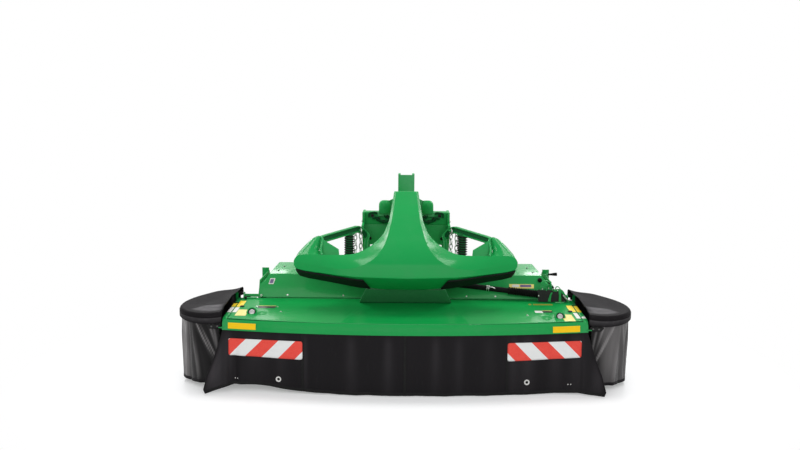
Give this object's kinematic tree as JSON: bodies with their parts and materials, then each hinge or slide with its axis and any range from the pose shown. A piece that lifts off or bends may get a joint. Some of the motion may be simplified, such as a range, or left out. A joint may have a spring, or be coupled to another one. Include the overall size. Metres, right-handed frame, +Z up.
{
  "type": "front-mounted disc mower conditioner",
  "caption": "Front-mounted disc mower conditioner with a bowed front flap and curtain, folding side shields, a tined conditioner rotor under a hood and a three-point headstock.",
  "frame": {"origin": "on the floor, below the centre of the machine's overall box", "axes": "+X to the right of someone facing the front curtain and across the working width, -Y the way the curtain faces, +Y towards the tractor, +Z up"},
  "size_m": [3.7313, 2.1, 1.632],
  "materials": {
    "green_paint": "gloss",
    "rotor_paint": "satin",
    "disc_steel": "satin",
    "bar_steel": "satin",
    "curtain_vinyl": "coated",
    "hazard_foil": "retroreflective foil",
    "shield_plastic": "moulded",
    "trim_rubber": "matt",
    "chain_steel": "zinc plated",
    "guard_plastic": "moulded",
    "latch_steel": "plated",
    "gearbox_iron": "painted"
  },
  "bodies": {
    "mower": {"conditioner_comb": "rotor_paint", "conditioner_hood": "green_paint", "cover_trim_left": "trim_rubber", "cover_trim_right": "trim_rubber", "cross_drive": "guard_plastic", "crossbar": "green_paint", "cutter_bar": "bar_steel", "deck_latches": "latch_steel", "disc_drive": "gearbox_iron", "frame_cheek_left": "green_paint", "frame_cheek_right": "green_paint", "front_rail": "green_paint", "gearbox": "gearbox_iron", "headstock_beam": "green_paint", "headstock_cheek_left": "green_paint", "headstock_cheek_right": "green_paint", "lift_chain_left": "chain_steel", "lift_chain_right": "chain_steel", "linkage_cover": "green_paint", "main_frame": "green_paint", "pedestal": "green_paint", "side_drive_box": "gearbox_iron", "side_plate_left": "green_paint", "side_plate_right": "green_paint", "side_rail_left": "green_paint", "side_rail_right": "green_paint", "skid_shoes": "bar_steel", "spine": "green_paint", "suspension_strut_left": "green_paint", "suspension_strut_right": "green_paint", "top_deck": "green_paint"},
    "front_flap": {"front_flap": "green_paint", "front_curtain": "curtain_vinyl", "hazard_board_left": "hazard_foil", "hazard_board_right": "hazard_foil"},
    "side_shield_left": {"side_shield_left": "shield_plastic", "side_curtain_left": "curtain_vinyl"},
    "swath_door_left": {"swath_door_left": "green_paint"},
    "parking_stand_left": {"parking_stand_left": "green_paint"},
    "side_shield_right": {"side_shield_right": "shield_plastic", "side_curtain_right": "curtain_vinyl"},
    "swath_door_right": {"swath_door_right": "green_paint"},
    "parking_stand_right": {"parking_stand_right": "green_paint"},
    "disc_1": {"disc_1": "disc_steel"},
    "disc_2": {"disc_2": "disc_steel"},
    "disc_3": {"disc_3": "disc_steel"},
    "disc_4": {"disc_4": "disc_steel"},
    "disc_5": {"disc_5": "disc_steel"},
    "disc_6": {"disc_6": "disc_steel"},
    "disc_7": {"disc_7": "disc_steel"},
    "conditioner_rotor": {"conditioner_rotor": "rotor_paint"}
  },
  "joints": [
    {"name": "front_flap_hinge", "type": "hinge", "parent": "mower", "child": "front_flap", "pos_m": [0, -0.45, 0.52], "axis": [-1, 0, 0], "range_deg": [0, 45]},
    {"name": "side_shield_left_hinge", "type": "hinge", "parent": "mower", "child": "side_shield_left", "pos_m": [-1.46, -0.23, 0.66], "axis": [0, 1, 0], "range_deg": [0, 90]},
    {"name": "side_shield_right_hinge", "type": "hinge", "parent": "mower", "child": "side_shield_right", "pos_m": [1.46, -0.23, 0.66], "axis": [0, -1, 0], "range_deg": [0, 90]},
    {"name": "disc_1_spin", "type": "hinge", "parent": "mower", "child": "disc_1", "pos_m": [-1.305, -0.55, 0.1], "axis": [0, 0, 1], "continuous": true},
    {"name": "disc_2_spin", "type": "hinge", "parent": "mower", "child": "disc_2", "pos_m": [-0.87, -0.55, 0.1], "axis": [0, 0, 1], "continuous": true},
    {"name": "disc_3_spin", "type": "hinge", "parent": "mower", "child": "disc_3", "pos_m": [-0.435, -0.55, 0.1], "axis": [0, 0, 1], "continuous": true},
    {"name": "disc_4_spin", "type": "hinge", "parent": "mower", "child": "disc_4", "pos_m": [0, -0.55, 0.1], "axis": [0, 0, 1], "continuous": true},
    {"name": "disc_5_spin", "type": "hinge", "parent": "mower", "child": "disc_5", "pos_m": [0.435, -0.55, 0.1], "axis": [0, 0, 1], "continuous": true},
    {"name": "disc_6_spin", "type": "hinge", "parent": "mower", "child": "disc_6", "pos_m": [0.87, -0.55, 0.1], "axis": [0, 0, 1], "continuous": true},
    {"name": "disc_7_spin", "type": "hinge", "parent": "mower", "child": "disc_7", "pos_m": [1.305, -0.55, 0.1], "axis": [0, 0, 1], "continuous": true},
    {"name": "conditioner_rotor_spin", "type": "hinge", "parent": "mower", "child": "conditioner_rotor", "pos_m": [0, 0.08, 0.43], "axis": [1, 0, 0], "continuous": true},
    {"name": "swath_door_left_hinge", "type": "hinge", "parent": "mower", "child": "swath_door_left", "pos_m": [-1.235, 0.45, 0.36], "axis": [0, 0, -1], "range_deg": [0, 30]},
    {"name": "swath_door_right_hinge", "type": "hinge", "parent": "mower", "child": "swath_door_right", "pos_m": [1.235, 0.45, 0.36], "axis": [0, 0, 1], "range_deg": [0, 30]},
    {"name": "parking_stand_left_hinge", "type": "hinge", "parent": "mower", "child": "parking_stand_left", "pos_m": [-1.33, 0.45, 0.43], "axis": [1, 0, 0], "range_deg": [0, 110]},
    {"name": "parking_stand_right_hinge", "type": "hinge", "parent": "mower", "child": "parking_stand_right", "pos_m": [1.33, 0.45, 0.43], "axis": [1, 0, 0], "range_deg": [0, 110]}
  ],
  "couplings": [
    {"joint": "disc_1_spin", "follows": "disc_4_spin", "ratio": -1},
    {"joint": "disc_2_spin", "follows": "disc_4_spin", "ratio": 1},
    {"joint": "disc_3_spin", "follows": "disc_4_spin", "ratio": -1},
    {"joint": "disc_5_spin", "follows": "disc_4_spin", "ratio": -1},
    {"joint": "disc_6_spin", "follows": "disc_4_spin", "ratio": 1},
    {"joint": "disc_7_spin", "follows": "disc_4_spin", "ratio": -1}
  ]
}
